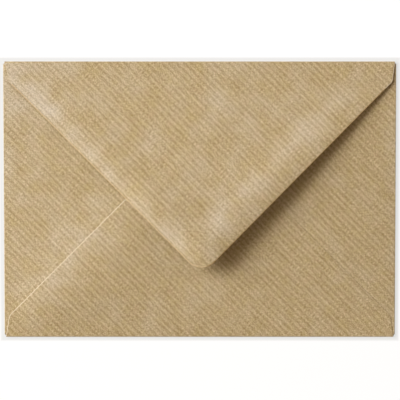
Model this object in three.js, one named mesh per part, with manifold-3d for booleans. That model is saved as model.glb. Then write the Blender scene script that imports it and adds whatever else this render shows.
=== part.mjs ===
// A gummed C6 envelope folded from one sheet of ribbed kraft paper. It lies on its front, and its
// seal flap stands a little open on the spring of its crease.
// Millimetres. X runs along the long side, Y up to the top fold, and Z up out of the table.
// The origin is under the middle of the folded envelope, on the table.

import * as THREE from 'three';
import { mergeVertices } from 'three/addons/utils/BufferGeometryUtils.js';
import Module from 'manifold-3d';

const wasm = await Module();
wasm.setup();

// Folded size and paper
const length = 162; // long side, outside the folds
const height = 114; // short side, outside the folds
const paper = 0.13; // thickness of the sheet
const pocketGap = 0.35; // air in the pocket at the side folds
const belly = 1.8; // how far the back bows up at its middle

// Glue and gum films, and the air that parts them from the paper
const glueFilm = 0.03;
const gumFilm = 0.02;
const filmClearance = 0.005;
const closedClearance = 0.04; // under the gum when the flap is shut

// Creases
const creaseClearance = 0.02; // from a glued panel to its crease
const hingeClearance = 0.1; // from the seal flap's root to its crease
const cornerRadius = 0.4; // of the front panel's corners
const sideFootGap = 1.0; // from a corner of the envelope to the end of a side crease

// Seal flap, measured from the top fold. At each shoulder its short slanted side turns into its long
// edge: inset from the envelope's side, depth from the fold, and the long edge's angle to the fold.
const seal = {
  footInset: 0.6, // in from the envelope's side, at the fold
  left: { inset: 3.1, depth: 9, radius: 3, angle: 45 },
  right: { inset: 1.7, depth: 8.4, radius: 2, angle: 45.3 },
  tipRadius: 7.2,
};
const restLift = 3.5; // degrees that the flap stands open at rest

// How the seal flap curls down towards its two long edges, behind a ridge that dies away over a run
const leftCurl = { drop: 1.4, width: 9, ridge: 0.5, run: 3 };
const rightCurl = { drop: 0.35, width: 7.4, ridge: 1.25, run: 3.2 };
const curlRunIn = 50; // from the fold to where the curl is full

// Bottom flap, measured from the bottom fold
const bottom = {
  footInset: 0.6,
  left: { inset: 1.95, depth: 8.9, radius: 4, angle: 45 },
  right: { inset: 1.7, depth: 8.9, radius: 4, angle: 45 },
  tipRadius: 7.2,
};

// Hump of the back along the left seam
const hump = {
  rise: 1.3,
  foot: 16, // from the seam out to where it starts
  top: 11, // from the seam in to its highest line
  tail: 45, // from the seam in to where it has died away
  runOut: 16, // along which it dies away to the left and bottom folds
  fadeFrom: 45, // up from the bottom fold, where it begins to die away
  fadeTo: 75,
};

// Side flaps, whose edges run parallel to the bottom flap's
const seamOverlap = 12; // how far a side flap reaches in under the bottom flap's edge
const sideShoulderGap = 2.1; // from the bottom fold to a side flap's shoulder
const sideShoulderRadius = 3;
const sideTipRadius = 10;

// Glue line inside each seam, and gum band inside the seal flap's edge
const glueMargin = 1.5;
const glueWidth = 6;
const glueLead = 4; // from the bottom flap's shoulder to the glue, along the depth
const glueEndGap = 3; // from the envelope's mid-height to the glue's end
const gumMargin = 1.5;
const gumWidth = 10;
const gumLead = 6; // from the seal flap's shoulder to the gum, along the depth

// Mesh of the bowed sheets
const bodyCell = 5;
const flapCell = 4.5;
const arcSegments = 5; // pairs of segments in a rounded corner
const creaseSegments = 12; // pairs of segments round a crease

// Heights of the layers at the folds, from the table up
const halfLength = length / 2;
const halfHeight = height / 2;
const sideLevel = paper + pocketGap;
const glueLevel = sideLevel + paper + filmClearance;
const bottomLevel = glueLevel + glueFilm + filmClearance;
const sealLevel = bottomLevel + paper + closedClearance + gumFilm + filmClearance;

// Outer radius of each crease, which wraps from the front panel up to its flap
const sideRadius = (sideLevel + paper) / 2;
const bottomRadius = (bottomLevel + paper) / 2;
const topRadius = (sealLevel + paper) / 2;

// The seal flap's hinge line runs along X through the middle of the top crease
const hinge = new THREE.Vector3(0, halfHeight - topRadius, topRadius);

// Finishes
const kraft = { color: '#bfa67f', roughness: 0.85 };
const creasedKraft = { color: '#b99f76', roughness: 0.85 };
const driedGlue = { color: '#d8cdb4', roughness: 0.5 };
const driedGum = { color: '#c4ad88', roughness: 0.35 };

/** Named mesh of one piece of paper, glue or gum. */
function piece(name, geometry, finish) {
  const mesh = new THREE.Mesh(geometry, new THREE.MeshStandardMaterial({ ...finish, metalness: 0 }));
  mesh.name = name;
  return mesh;
}

/** Closed manifold-3d solid with the geometry's shape. */
function solidOf(geometry) {
  geometry.deleteAttribute('normal');
  geometry.deleteAttribute('uv');
  const merged = mergeVertices(geometry, 1e-5);
  const vertProperties = new Float32Array(merged.attributes.position.array);
  const triVerts = new Uint32Array(merged.index.array);
  return new wasm.Manifold(new wasm.Mesh({ numProp: 3, vertProperties, triVerts }));
}

/** Geometry with the shape of a manifold-3d solid. */
function geometryOf(solid) {
  const { vertProperties, triVerts } = solid.getMesh();
  const geometry = new THREE.BufferGeometry();
  geometry.setAttribute('position', new THREE.BufferAttribute(vertProperties, 3));
  geometry.setIndex(new THREE.BufferAttribute(triVerts, 1));
  geometry.computeVertexNormals();
  return geometry;
}

/** Outline through corners [x, y, radius], each corner rounded by its radius. */
function roundedOutline(corners) {
  const shape = new THREE.Shape();
  corners.forEach(([x, y, radius], i) => {
    const corner = new THREE.Vector2(x, y);
    const [beforeX, beforeY] = corners.at(i - 1);
    const [afterX, afterY] = corners[(i + 1) % corners.length];
    const back = new THREE.Vector2(beforeX, beforeY).sub(corner).normalize();
    const ahead = new THREE.Vector2(afterX, afterY).sub(corner).normalize();
    const halfAngle = Math.acos(back.dot(ahead)) / 2;
    const reach = radius / Math.tan(halfAngle);
    const start = corner.clone().addScaledVector(back, reach);
    if (i === 0) shape.moveTo(start.x, start.y);
    else shape.lineTo(start.x, start.y);
    if (radius === 0) return;
    const inward = back.clone().add(ahead).normalize();
    const centre = corner.clone().addScaledVector(inward, radius / Math.sin(halfAngle));
    const end = corner.clone().addScaledVector(ahead, reach);
    const from = start.sub(centre).angle();
    const to = end.sub(centre).angle();
    const clockwise = ahead.cross(back) < 0;
    shape.absarc(centre.x, centre.y, radius, from, to, clockwise);
  });
  return shape;
}

/** Corners mirrored in X or Y, in the order that keeps the outline anticlockwise. */
function mirrored(corners, signX, signY) {
  const flipped = corners.map(([x, y, radius]) => [signX * x, signY * y, radius]);
  return signX * signY < 0 ? flipped.reverse() : flipped;
}

/** From the middle to the long edge below a shoulder, moved in by an inset, at a depth from the fold. */
function reachAt(shoulder, depth, inset) {
  const angle = THREE.MathUtils.degToRad(shoulder.angle);
  const run = (depth - shoulder.depth) / Math.tan(angle);
  return halfLength - shoulder.inset - run - inset / Math.sin(angle);
}

/** X and depth at which the two long edges of a pointed flap would meet, moved in by an inset. */
function apexOf(form, inset) {
  const across = reachAt(form.left, 0, inset) + reachAt(form.right, 0, inset);
  const [left, right] = [form.left, form.right].map(({ angle }) => THREE.MathUtils.degToRad(angle));
  const depth = across / (1 / Math.tan(left) + 1 / Math.tan(right));
  return [reachAt(form.right, depth, inset), depth];
}

/** Corners of a pointed flap that hangs down from a fold along y = halfHeight. */
function pointedFlap(form, rootDepth) {
  const footX = halfLength - form.footInset;
  const rootY = halfHeight - rootDepth;
  const [apexX, apexDepth] = apexOf(form, 0);
  const { left, right } = form;
  return [
    [footX, rootY, 0],
    [-footX, rootY, 0],
    [left.inset - halfLength, halfHeight - left.depth, left.radius],
    [apexX, halfHeight - apexDepth, form.tipRadius],
    [halfLength - right.inset, halfHeight - right.depth, right.radius],
  ];
}

/** Corners of the left side flap, whose lower edge lies under the bottom flap's. */
function leftFlap() {
  const slope = Math.tan(THREE.MathUtils.degToRad(bottom.left.angle));
  const rootX = -halfLength + sideRadius + creaseClearance;
  const tipX = -reachAt(bottom.left, halfHeight, seamOverlap);
  const footY = halfHeight - sideFootGap;
  const shoulderY = halfHeight - sideShoulderGap;
  const shoulderX = tipX - shoulderY / slope;
  return [
    [rootX, -footY, 0],
    [shoulderX, -shoulderY, sideShoulderRadius],
    [tipX, 0, sideTipRadius],
    [shoulderX, shoulderY, sideShoulderRadius],
    [rootX, footY, 0],
  ];
}

/** Corners of the left glue line, in from the bottom flap's edge. */
function leftGlue() {
  const near = bottom.left.depth + glueLead;
  const far = halfHeight - glueEndGap;
  const outer = glueMargin;
  const inner = glueMargin + glueWidth;
  return [
    [-reachAt(bottom.left, near, outer), near - halfHeight, 0],
    [-reachAt(bottom.left, near, inner), near - halfHeight, 0],
    [-reachAt(bottom.left, far, inner), far - halfHeight, 0],
    [-reachAt(bottom.left, far, outer), far - halfHeight, 0],
  ];
}

/** Corners of the gum band, a V in from the seal flap's two edges and round its tip. */
function gumBand() {
  const near = seal.left.depth + gumLead;
  const top = halfHeight - near;
  const outer = gumMargin;
  const inner = gumMargin + gumWidth;
  const [outerX, outerDepth] = apexOf(seal, outer);
  const [innerX, innerDepth] = apexOf(seal, inner);
  return [
    [-reachAt(seal.left, near, outer), top, 0],
    [outerX, halfHeight - outerDepth, seal.tipRadius - gumMargin],
    [reachAt(seal.right, near, outer), top, 0],
    [reachAt(seal.right, near, inner), top, 0],
    [innerX, halfHeight - innerDepth, 0],
    [-reachAt(seal.left, near, inner), top, 0],
  ];
}

/** How far inside a long edge a point lies, on the side of 1 for the left edge and -1 for the right. */
function insideEdge(shoulder, depth, x, side) {
  const angle = THREE.MathUtils.degToRad(shoulder.angle);
  return (reachAt(shoulder, depth, 0) + side * x) * Math.sin(angle);
}

/** Rise of the hump that the glued left seam leaves in the back. */
function humpAt(x, y) {
  const { smoothstep } = THREE.MathUtils;
  const depth = halfHeight + y;
  const inside = insideEdge(bottom.left, depth, x, 1);
  const profile = smoothstep(inside, -hump.foot, hump.top) - smoothstep(inside, hump.top, hump.tail);
  const fromSide = smoothstep(halfLength + x, 0, hump.runOut);
  const fromFold = smoothstep(depth, 0, hump.runOut);
  const fromTop = 1 - smoothstep(depth, hump.fadeFrom, hump.fadeTo);
  return hump.rise * profile * fromSide * fromFold * fromTop;
}

/** How far the bowed back stands above its flat place: soft to the top fold, steep to the bottom one. */
function bellyAt(x, y) {
  const across = 1 - (x / halfLength) ** 2;
  const part = y / halfHeight;
  const along = part > 0 ? (1 + Math.cos(Math.PI * part)) / 2 : 1 - part ** 4;
  return belly * across * along + humpAt(x, y);
}

/** Rise of a curled flap at a distance in from its edge, over the flap's even middle. */
function curlAt(curl, distance) {
  const past = Math.max(0, distance - curl.width) / curl.run;
  const fall = curl.drop * Math.max(0, 1 - distance / curl.width) ** 2;
  return curl.ridge * (1 + past) * Math.exp(-past) - fall;
}

/** How far the shut seal flap stands above the bowed back, which its left edge comes down to. */
function archAt(x, y) {
  const depth = halfHeight - y;
  const left = curlAt(leftCurl, insideEdge(seal.left, depth, x, 1));
  const right = curlAt(rightCurl, insideEdge(seal.right, depth, x, -1));
  const grown = THREE.MathUtils.smoothstep(depth, 0, curlRunIn);
  return grown * Math.max(0, leftCurl.drop - leftCurl.ridge + left + right);
}

/** Height of the shut seal flap above its place at the fold. */
function sealHeightAt(x, y) {
  return bellyAt(x, y) + archAt(x, y);
}

/** Vertices round the rim of a square grid of cells, anticlockwise from its top left corner. */
function gridRim(cells) {
  const row = cells + 1;
  const last = row * row - 1;
  const steps = Array.from({ length: cells }, (_, i) => i);
  return [
    ...steps.map((i) => i * row),
    ...steps.map((i) => cells * row + i),
    ...steps.map((i) => last - i * row),
    ...steps.map((i) => cells - i),
  ];
}

/** Closed slab on a square grid whose underside lies at heightAt(x, y), with like faces above and below. */
function gridSlab(reach, cells, turn, thickness, heightAt) {
  const plane = new THREE.PlaneGeometry(reach, reach, cells, cells);
  plane.rotateZ(THREE.MathUtils.degToRad(turn));
  const points = plane.attributes.position;
  const vertices = [];
  for (const lift of [0, thickness]) {
    for (let i = 0; i < points.count; i += 1) {
      const x = points.getX(i);
      const y = points.getY(i);
      vertices.push(x, y, heightAt(x, y) + lift);
    }
  }
  const triangles = [];
  for (let i = 0; i < plane.index.count; i += 3) {
    const [a, b, c] = plane.index.array.slice(i, i + 3);
    triangles.push(a + points.count, b + points.count, c + points.count, c, b, a);
  }
  const rim = gridRim(cells);
  rim.forEach((here, i) => {
    const next = rim[(i + 1) % rim.length];
    triangles.push(here, next, next + points.count);
    triangles.push(here, next + points.count, here + points.count);
  });
  const slab = new THREE.BufferGeometry();
  slab.setAttribute('position', new THREE.Float32BufferAttribute(vertices, 3));
  slab.setIndex(triangles);
  return slab;
}

/** Sheet of even thickness cut to an outline, its underside at level plus heightAt(x, y). */
function bowedSheet(corners, level, thickness, heightAt, cell, turn) {
  const cells = Math.ceil(Math.hypot(length, height) / cell) + 1;
  const underside = (x, y) => level + heightAt(x, y);
  const slab = gridSlab(cells * cell, cells, turn, thickness, underside);
  const depth = 2 * (level + thickness + belly + hump.rise + leftCurl.drop + rightCurl.ridge);
  const cutter = new THREE.ExtrudeGeometry(roundedOutline(corners), {
    depth,
    bevelEnabled: false,
    curveSegments: arcSegments,
  });
  return geometryOf(solidOf(slab).intersect(solidOf(cutter)));
}

/** Half-round crease along X, its front end flat on the table and its far end at an angle. */
function crease(radius, lengthAlong, endAngle) {
  const start = -Math.PI / 2;
  const end = THREE.MathUtils.degToRad(endAngle);
  const section = new THREE.Shape();
  section.absarc(0, 0, radius, start, end, false);
  section.absarc(0, 0, radius - paper, end, start, true);
  const strip = new THREE.ExtrudeGeometry(section, {
    depth: lengthAlong,
    bevelEnabled: false,
    curveSegments: creaseSegments,
  });
  strip.translate(0, 0, -lengthAlong / 2);
  // The section's x becomes Y and its y becomes Z, and the extrusion runs along X.
  strip.rotateX(Math.PI / 2);
  strip.rotateZ(Math.PI / 2);
  return strip;
}

/** Front panel, flat on the table between the four creases. */
function frontPanel() {
  const x = halfLength - sideRadius - creaseClearance;
  const topY = halfHeight - topRadius - creaseClearance;
  const bottomY = -halfHeight + bottomRadius + creaseClearance;
  const outline = roundedOutline([
    [x, topY, cornerRadius],
    [-x, topY, cornerRadius],
    [-x, bottomY, cornerRadius],
    [x, bottomY, cornerRadius],
  ]);
  const geometry = new THREE.ExtrudeGeometry(outline, {
    depth: paper,
    bevelEnabled: false,
    curveSegments: arcSegments,
  });
  return piece('front_panel', geometry, kraft);
}

/** Side flap, folded in over the front. */
function sideFlap(name, side) {
  const corners = mirrored(leftFlap(), -side, 1);
  const geometry = bowedSheet(corners, sideLevel, paper, bellyAt, bodyCell, 0);
  return piece(name, geometry, kraft);
}

/** Bottom flap, folded up over both side flaps. */
function bottomFlap() {
  const corners = mirrored(pointedFlap(bottom, bottomRadius + creaseClearance), 1, -1);
  const geometry = bowedSheet(corners, bottomLevel, paper, bellyAt, bodyCell, 0);
  return piece('bottom_flap', geometry, kraft);
}

/** Glue line that holds the bottom flap to one side flap. */
function seamGlue(name, side) {
  const corners = mirrored(leftGlue(), -side, 1);
  const geometry = bowedSheet(corners, glueLevel, glueFilm, bellyAt, bodyCell, 0);
  return piece(name, geometry, driedGlue);
}

/** Crease between the front panel and one side flap. */
function sideCrease(name, side) {
  const strip = crease(sideRadius, height - 2 * sideFootGap, 90);
  const mesh = piece(name, strip, creasedKraft);
  mesh.rotation.z = side > 0 ? -Math.PI / 2 : Math.PI / 2;
  mesh.position.set(side * (halfLength - sideRadius), 0, sideRadius);
  return mesh;
}

/** Crease between the front panel and the bottom flap. */
function bottomCrease() {
  const strip = crease(bottomRadius, length - 2 * bottom.footInset, 90);
  const mesh = piece('bottom_crease', strip, creasedKraft);
  mesh.rotation.z = Math.PI;
  mesh.position.set(0, -halfHeight + bottomRadius, bottomRadius);
  return mesh;
}

/** Crease between the front panel and the seal flap, opened by the flap's lift at rest. */
function topCrease() {
  const strip = crease(topRadius, length - 2 * seal.footInset, 90 - restLift);
  const mesh = piece('top_crease', strip, creasedKraft);
  mesh.position.copy(hinge);
  return mesh;
}

/** Seal flap and its gum, made shut and then swung open about the hinge line. */
function sealFlapGroup() {
  const turn = seal.left.angle;
  const flapCorners = pointedFlap(seal, topRadius + hingeClearance);
  const flap = bowedSheet(flapCorners, sealLevel, paper, sealHeightAt, flapCell, turn);
  const gumLevel = sealLevel - filmClearance - gumFilm;
  const gum = bowedSheet(gumBand(), gumLevel, gumFilm, sealHeightAt, flapCell, turn);
  flap.translate(-hinge.x, -hinge.y, -hinge.z);
  gum.translate(-hinge.x, -hinge.y, -hinge.z);
  const group = new THREE.Group();
  group.add(piece('seal_flap', flap, kraft));
  group.add(piece('seal_gum', gum, driedGum));
  group.position.copy(hinge);
  group.rotation.x = -THREE.MathUtils.degToRad(restLift);
  return group;
}

const envelope = new THREE.Group();
envelope.add(frontPanel());
envelope.add(sideFlap('left_side_flap', -1));
envelope.add(sideFlap('right_side_flap', 1));
envelope.add(bottomFlap());
envelope.add(seamGlue('left_seam_glue', -1));
envelope.add(seamGlue('right_seam_glue', 1));
envelope.add(sideCrease('left_crease', -1));
envelope.add(sideCrease('right_crease', 1));
envelope.add(bottomCrease());
envelope.add(topCrease());
envelope.add(sealFlapGroup());

export default envelope;
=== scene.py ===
"""A gummed C6 envelope of ribbed kraft paper, lying on its front with the seal flap a little open.

The pieces follow the folded sheet: five panels cut from one blank, the four creases between them,
two seam glue lines and the gum band. Each is modelled in millimetres and brought to metres at the
end. X runs along the long side, Y up to the top fold, and Z up out of the table.
"""

from __future__ import annotations

import logging
import math
from collections.abc import Callable, Sequence
from dataclasses import dataclass, field
from enum import Enum

import bmesh
import bpy
from mathutils import Matrix, Vector, noise

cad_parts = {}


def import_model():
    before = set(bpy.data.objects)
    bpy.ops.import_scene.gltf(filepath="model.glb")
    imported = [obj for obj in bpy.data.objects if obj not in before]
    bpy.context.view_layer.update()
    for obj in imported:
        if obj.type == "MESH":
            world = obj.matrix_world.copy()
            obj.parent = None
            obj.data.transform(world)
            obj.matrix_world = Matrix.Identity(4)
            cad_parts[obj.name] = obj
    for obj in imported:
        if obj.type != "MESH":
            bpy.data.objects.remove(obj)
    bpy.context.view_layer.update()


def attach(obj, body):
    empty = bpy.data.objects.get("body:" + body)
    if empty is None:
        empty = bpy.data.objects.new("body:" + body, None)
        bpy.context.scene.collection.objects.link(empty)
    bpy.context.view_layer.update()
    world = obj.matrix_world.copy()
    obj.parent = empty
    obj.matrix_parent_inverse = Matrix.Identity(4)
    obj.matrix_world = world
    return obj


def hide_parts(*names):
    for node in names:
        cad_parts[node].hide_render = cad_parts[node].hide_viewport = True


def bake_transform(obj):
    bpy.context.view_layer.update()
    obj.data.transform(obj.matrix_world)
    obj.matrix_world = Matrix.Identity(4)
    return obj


log = logging.getLogger("envelope")

MM = 0.001  # metres in a millimetre
TAU = 2 * math.pi
BLANK_MAP = "blank"  # UV map that holds each point's place on the flat sheet, in metres
PAINTED_SHEEN = "painted_sheen"  # attribute that holds how strongly painted sheen pales each point
WELD = 1e-4  # points nearer than this are one point, in millimetres
ON_LINE = 2e-3  # a point this near to a run of the outline lies on it, in millimetres
ON_CUT = 1e-5  # a point this near to a cutting plane isn't cut again, in millimetres
ARC_STEP = 0.7  # length of the straight runs that round a corner, in millimetres

Corner = tuple[float, float, float]  # x, y and the radius of its rounding
Plan = Callable[[float, float], float]
Place = Callable[[float, float], tuple[float, float]]
Piece = bpy.types.Object
Material = bpy.types.Material
Tree = bpy.types.NodeTree
Socket = bpy.types.NodeSocket


class Body(Enum):
    """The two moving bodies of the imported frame."""

    POCKET = "pocket"
    FLAP = "flap"


class Slot(Enum):
    """Material slots of the record."""

    KRAFT = "kraft_paper"
    CREASE = "creased_paper"
    GLUE = "seam_glue"
    GUM = "dried_gum"


class RibRun(Enum):
    """Turn of a panel's grid, in degrees, that lays its X across the ribs seen from above."""

    FALLING = 45.0
    RISING = -45.0


class Edge(Enum):
    """Sides of the folded envelope, each with the turn about Z that brings the top fold to it."""

    TOP = 0.0
    LEFT = 90.0
    BOTTOM = 180.0
    RIGHT = -90.0


class Hand(Enum):
    """The left and right of a pair, each with the factor that brings the left one's shape to it."""

    LEFT = 1
    RIGHT = -1

    @property
    def word(self) -> str:
        """Its name as piece and node names have it."""
        return self.name.lower()


class Rim(Enum):
    """What a cut edge shows, as the number of the material in its sheet."""

    FACE = 0
    FRESH = 1
    WORN = 2
    # brown cut edge: painted shade where an edge faces away from the lamps
    THUMBED = 3


def smoothstep(value: float, start: float, end: float) -> float:
    """Smooth rise from 0 at start to 1 at end."""
    t = min(1.0, max(0.0, (value - start) / (end - start)))
    return t * t * (3 - 2 * t)


def linear(colour: str) -> tuple[float, float, float, float]:
    """Turns a colour to what shaders work in.

    Args:
        colour: sRGB hex value, such as "#c7ac8a".

    Returns:
        Its linear red, green and blue, and an alpha of 1.
    """
    parts = [int(colour[i : i + 2], 16) / 255 for i in (1, 3, 5)]
    red, green, blue = (c / 12.92 if c <= 0.04045 else ((c + 0.055) / 1.055) ** 2.4 for c in parts)
    return red, green, blue, 1.0


@dataclass(frozen=True)
class Shoulder:
    """Where a pointed flap's slanted side turns into its long straight edge."""

    inset: float
    depth: float
    radius: float
    angle: float = math.radians(45)  # between the long edge and the fold

    def reach(self, half_length: float, depth: float, inset: float = 0.0) -> float:
        """From the middle to the long edge, moved in by an inset, at a depth from the fold."""
        run = (depth - self.depth) / math.tan(self.angle)
        return half_length - self.inset - run - inset / math.sin(self.angle)


@dataclass(frozen=True)
class PointedForm:
    """A pointed flap, measured from its fold: short slanted sides, long edges and a round tip."""

    foot_inset: float
    left: Shoulder
    right: Shoulder
    tip_radius: float

    def apex(self, half_length: float, inset: float = 0.0) -> tuple[float, float]:
        """Finds where the two long edges would meet.

        Args:
            half_length: Half the envelope's long side.
            inset: How far the edges are moved in.

        Returns:
            X, and the depth from the fold.
        """
        across = sum(edge.reach(half_length, 0, inset) for edge in (self.left, self.right))
        slopes = sum(1 / math.tan(edge.angle) for edge in (self.left, self.right))
        depth = across / slopes
        return self.right.reach(half_length, depth, inset), depth


@dataclass(frozen=True)
class Curl:
    """How a free edge of the seal flap curls: down over a width, behind a ridge that dies away."""

    drop: float
    width: float
    ridge: float
    run: float

    def at(self, distance: float) -> float:
        """Finds the height that the curl gives a point.

        Args:
            distance: From the edge in to the point.

        Returns:
            Rise over the flap's even middle.
        """
        past = max(0.0, distance - self.width) / self.run
        fall = self.drop * max(0.0, 1 - distance / self.width) ** 2
        return self.ridge * (1 + past) * math.exp(-past) - fall


@dataclass(frozen=True)
class SheenPatch:
    """A soft spot of painted sheen, painted shade if its strength is negative, in millimetres."""

    x: float
    y: float
    along: float
    across: float
    turn: float
    strength: float

    def at(self, x: float, y: float) -> float:
        """Finds how strongly a point is rubbed.

        Args:
            x: Place along the long side.
            y: Place towards the top fold.

        Returns:
            The patch's strength in its middle, less towards its ends and sides.
        """
        turned = Matrix.Rotation(-math.radians(self.turn), 2) @ Vector((x - self.x, y - self.y))
        past = (turned.x / self.along) ** 4 + (turned.y / self.across) ** 2
        return self.strength * math.exp(-past)


@dataclass(frozen=True)
class FoldedForm:
    """Sizes of the folded envelope in millimetres, as in the part's source, and its bowed surfaces.

    A method that takes x and y gives a height or a strength at that point of the plan.
    """

    length: float = 162.0
    height: float = 114.0
    paper: float = 0.13
    pocket_gap: float = 0.35
    belly: float = 1.8
    seam_hump: float = 1.3  # how far the back stands up inside the left seam
    hump_foot: float = 16.0  # from the seam out to where the hump starts
    hump_top: float = 11.0  # from the seam in to its highest line
    hump_tail: float = 45.0  # from the seam in to where it has died away
    hump_ends: float = 16.0  # from a fold, over which it runs out
    hump_fade: tuple[float, float] = (45.0, 75.0)  # from the bottom fold up, where it dies away
    glue_film: float = 0.03
    gum_film: float = 0.02
    film_clearance: float = 0.005
    closed_clearance: float = 0.04
    fold_gap: float = 0.02  # from the seal flap's root to its fold, so that it opens past the front
    side_foot_gap: float = 1.0
    seal: PointedForm = PointedForm(
        foot_inset=0.6,
        left=Shoulder(3.1, 9.0, 3.0),
        right=Shoulder(1.7, 8.4, 2.0, math.radians(45.3)),
        tip_radius=7.2,
    )
    bottom: PointedForm = PointedForm(
        foot_inset=0.6,
        left=Shoulder(1.95, 8.9, 4.0),
        right=Shoulder(1.7, 8.9, 4.0),
        tip_radius=7.2,
    )
    left_curl: Curl = Curl(1.4, 9.0, ridge=0.5, run=3.0)
    right_curl: Curl = Curl(0.35, 7.4, ridge=1.25, run=3.2)
    curl_run_in: float = 50.0
    rest_lift: float = math.radians(3.5)
    seam_overlap: float = 12.0
    side_shoulder_gap: float = 2.1
    side_shoulder_radius: float = 3.0
    side_tip_radius: float = 10.0
    glue_margin: float = 1.5
    glue_width: float = 6.0
    glue_lead: float = 4.0
    glue_end_gap: float = 3.0
    gum_margin: float = 1.5
    gum_width: float = 10.0
    gum_lead: float = 6.0
    swell: float = 0.055  # how far the sheet cockles up and down
    swell_size: float = 26.0  # size of one cockle
    swell_bias: float = 0.75  # keeps the cockles under the even bow
    swell_run_in: float = 16.0  # from a fold, which stays straight, to full cockles
    # Painted sheen on the flap's ridges and slopes that face the lamps; one negative spot paints
    # shade.
    flap_sheen_spots: tuple[SheenPatch, ...] = (
        SheenPatch(-61.0, 36.5, 18.0, 3.6, -45.0, 0.26),
        SheenPatch(-33.0, 6.5, 36.0, 2.8, -45.0, 0.18),
        SheenPatch(34.0, 18.0, 42.0, 3.4, 45.0, 0.13),
        SheenPatch(40.5, 31.5, 8.0, 5.0, 70.0, 0.08),
        SheenPatch(59.0, 44.0, 7.0, 5.0, 30.0, 0.13),
        SheenPatch(11.0, 38.0, 18.0, 6.0, -70.0, 0.09),
        SheenPatch(-9.0, -19.0, 16.0, 2.4, -45.0, 0.12),
        SheenPatch(7.0, -9.0, 22.0, 12.0, 45.0, 0.15),
        SheenPatch(-76.0, 53.0, 24.0, 14.0, -25.0, 0.30),
        SheenPatch(-17.0, 38.0, 14.0, 11.0, 0.0, -0.10),
        SheenPatch(0.0, 34.0, 78.0, 40.0, 0.0, 0.10),
    )
    # Painted sheen on the back where it faces the lamps, most along the seam hump.
    back_sheen_spots: tuple[SheenPatch, ...] = (
        SheenPatch(-76.0, 42.0, 17.0, 6.0, -60.0, 0.16),
        SheenPatch(-80.0, 25.0, 24.0, 4.0, 90.0, 0.24),
        SheenPatch(-54.0, -20.0, 24.0, 9.0, 45.0, 0.25),
        SheenPatch(-70.0, 0.0, 46.0, 26.0, 90.0, 0.05),
        SheenPatch(-4.0, -36.0, 9.0, 6.0, 0.0, 0.06),
        SheenPatch(79.5, -14.0, 46.0, 2.6, 90.0, 0.12),
        SheenPatch(-10.0, -56.0, 60.0, 16.0, 0.0, 0.04),
    )

    @property
    def half_length(self) -> float:
        """Half the long side."""
        return self.length / 2

    @property
    def half_height(self) -> float:
        """Half the short side."""
        return self.height / 2

    @property
    def side_level(self) -> float:
        """Height of a side flap's underside at its fold."""
        return self.paper + self.pocket_gap

    @property
    def glue_level(self) -> float:
        """Height of the seam glue's underside at the folds."""
        return self.side_level + self.paper + self.film_clearance

    @property
    def bottom_level(self) -> float:
        """Height of the bottom flap's underside at its fold."""
        return self.glue_level + self.glue_film + self.film_clearance

    @property
    def seal_level(self) -> float:
        """Height of the shut seal flap's underside at its fold."""
        gum = self.gum_film + self.film_clearance
        return self.bottom_level + self.paper + self.closed_clearance + gum

    @property
    def hinge(self) -> Vector:
        """A point on the line that the seal flap turns about."""
        radius = self.crease_radius(self.seal_level)
        return Vector((0, self.half_height - radius, radius))

    def crease_radius(self, level: float) -> float:
        """Outer radius of a crease that wraps from the table up to a panel at a level."""
        return (level + self.paper) / 2

    def belly_at(self, x: float, y: float) -> float:
        """Bow of the back, soft towards the top fold and steep towards the bottom one.

        Args:
            x: Place along the long side.
            y: Place towards the top fold.

        Returns:
            Height above the back's flat place.
        """
        across = 1 - (x / self.half_length) ** 2
        part = y / self.half_height
        along = (1 + math.cos(math.pi * part)) / 2 if part > 0 else 1 - part**4
        return self.belly * across * along

    def hump_at(self, x: float, y: float) -> float:
        """Hump of the back beside the left seam, where the flaps are glued.

        Args:
            x: Place along the long side.
            y: Place towards the top fold.

        Returns:
            Height above the back's bow.
        """
        depth = self.half_height + y
        seam = self.bottom.left
        inside = (x + seam.reach(self.half_length, depth)) * math.sin(seam.angle)
        rise = smoothstep(inside, -self.hump_foot, self.hump_top)
        fall = smoothstep(inside, self.hump_top, self.hump_tail)
        from_side = smoothstep(self.half_length + x, 0, self.hump_ends)
        from_fold = smoothstep(depth, 0, self.hump_ends)
        from_top = 1 - smoothstep(depth, *self.hump_fade)
        return self.seam_hump * (rise - fall) * from_side * from_fold * from_top

    def swell_at(self, x: float, y: float) -> float:
        """The paper's slow cockles, which die out at the four folds.

        Args:
            x: Place along the long side.
            y: Place towards the top fold.

        Returns:
            Height above the even bow, mostly below 0.
        """
        from_sides = smoothstep(self.half_length - abs(x), 0, self.swell_run_in)
        from_folds = smoothstep(self.half_height - abs(y), 0, self.swell_run_in)
        waves = noise.noise(Vector((x, y, 0)) / self.swell_size) - self.swell_bias
        return self.swell * waves * from_sides * from_folds

    def back_at(self, x: float, y: float) -> float:
        """Height of the back above its flat place, cockles and all."""
        return self.belly_at(x, y) + self.hump_at(x, y) + self.swell_at(x, y)

    def arch_at(self, x: float, y: float) -> float:
        """Arch of the shut seal flap, whose curled edges come down to the back.

        Args:
            x: Place along the long side.
            y: Place towards the top fold.

        Returns:
            Height above the back.
        """
        depth = self.half_height - y
        from_left = self.seal.left.reach(self.half_length, depth) + x
        from_right = self.seal.right.reach(self.half_length, depth) - x
        left = self.left_curl.at(from_left * math.sin(self.seal.left.angle))
        right = self.right_curl.at(from_right * math.sin(self.seal.right.angle))
        rise = self.left_curl.drop - self.left_curl.ridge + left + right
        return smoothstep(depth, 0, self.curl_run_in) * max(0.0, rise)

    def seal_at(self, x: float, y: float) -> float:
        """Height of the shut seal flap above its place at the fold."""
        return self.back_at(x, y) + self.arch_at(x, y)

    def flap_sheen(self, x: float, y: float) -> float:
        """How strongly painted sheen pales the seal flap, most on its ridges."""
        return sum(patch.at(x, y) for patch in self.flap_sheen_spots)

    def back_sheen(self, x: float, y: float) -> float:
        """How strongly painted sheen pales the back's other panels, most along the seam."""
        return sum(patch.at(x, y) for patch in self.back_sheen_spots)

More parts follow.
